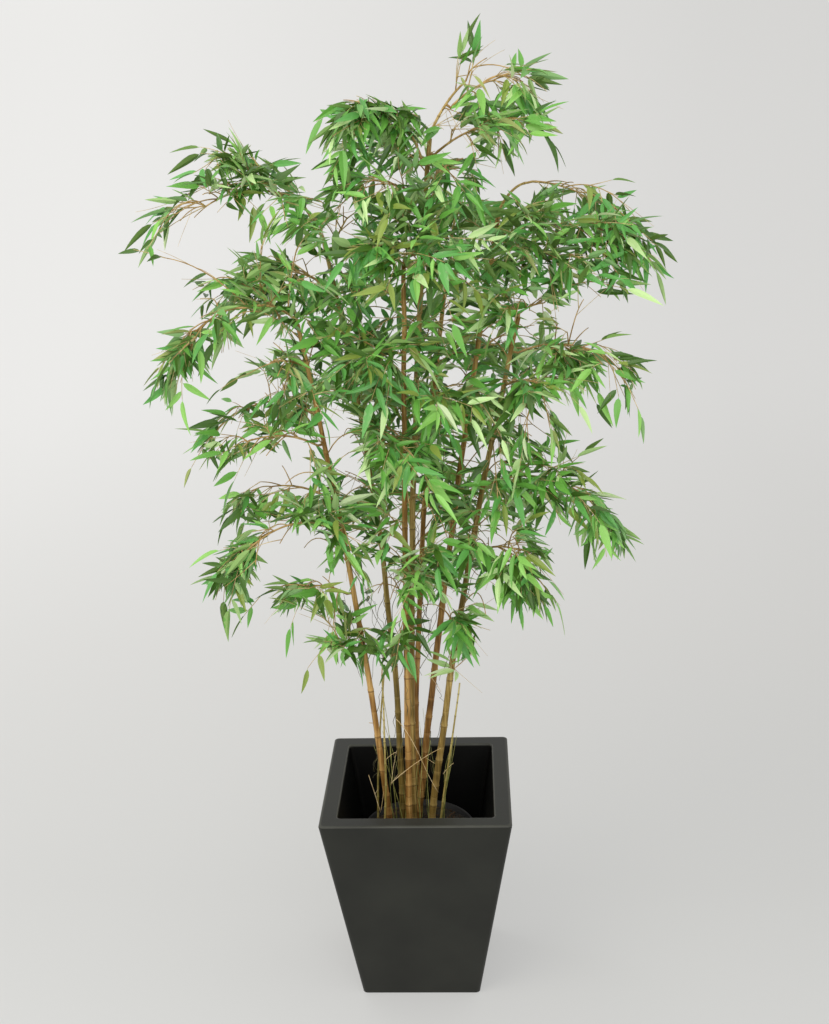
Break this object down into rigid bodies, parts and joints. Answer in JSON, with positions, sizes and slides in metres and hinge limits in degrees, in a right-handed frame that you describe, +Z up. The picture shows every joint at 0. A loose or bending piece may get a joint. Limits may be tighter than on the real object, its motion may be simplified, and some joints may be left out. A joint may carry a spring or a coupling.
{
  "type": "potted artificial bamboo",
  "caption": "Artificial bamboo with leaning jointed canes and sprays of narrow green leaves, set in a round growing pot inside a tall tapered square planter.",
  "frame": {"origin": "centre of the planter's flat underside, on the floor", "axes": "+Z up; -Y is the front of the planter and +X its right side seen from the front"},
  "size_m": [1.0255, 0.7238, 1.9892],
  "materials": {
    "planter": "matt dark grey, fine grained",
    "growing_pot": "moulded black, slight sheen",
    "soil": "rough dark filling over a set base",
    "cane": "satin, tan to ochre, ringed at the nodes",
    "shoot": "satin, greenish yellow",
    "bough": "satin, tan",
    "leaf": "woven leaf with a soft sheen, several greens"
  },
  "bodies": {
    "root": {"planter": "planter", "growing_pot": "growing_pot", "soil": "soil", "cane_left": "cane", "cane_left_back": "cane", "cane_front": "cane", "cane_tall": "cane", "cane_back": "cane", "cane_right_back": "cane", "cane_right": "cane", "shoot_left": "shoot", "shoot_middle": "shoot", "shoot_right": "shoot", "bough_left_high": "bough", "bough_left_second": "bough", "bough_top_left": "bough", "bough_top_right": "bough", "bough_right_first": "bough", "bough_back": "bough", "foliage_top_leader": "leaf", "foliage_top_right_upper": "leaf", "foliage_top_right_lower": "leaf", "foliage_top_right_back": "leaf", "foliage_top_left": "leaf", "foliage_top_left_low": "leaf", "foliage_top_back": "leaf", "foliage_left_high_inner": "leaf", "foliage_left_high_outer": "leaf", "foliage_left_shoulder": "leaf", "foliage_left_top": "leaf", "foliage_left_second_upper": "leaf", "foliage_left_second_outer": "leaf", "foliage_left_third": "leaf", "foliage_left_fourth_upper": "leaf", "foliage_left_fourth_lower": "leaf", "foliage_left_fifth_upper": "leaf", "foliage_left_fifth_lower": "leaf", "foliage_left_sixth": "leaf", "foliage_left_lowest": "leaf", "foliage_right_first_upper": "leaf", "foliage_right_first_outer": "leaf", "foliage_right_first_lower": "leaf", "foliage_right_dark": "leaf", "foliage_right_second_outer": "leaf", "foliage_right_second_front": "leaf", "foliage_right_third": "leaf", "foliage_right_fourth_outer": "leaf", "foliage_right_fifth": "leaf", "foliage_right_low": "leaf", "foliage_front_high": "leaf", "foliage_front_mid_left": "leaf", "foliage_front_mid": "leaf", "foliage_front_mid_right": "leaf", "foliage_front_low": "leaf", "foliage_back_high": "leaf", "foliage_back_upper_left": "leaf", "foliage_back_left": "leaf", "foliage_back_right": "leaf", "foliage_back_low_left": "leaf", "foliage_back_low_right": "leaf"}
  },
  "joints": []
}
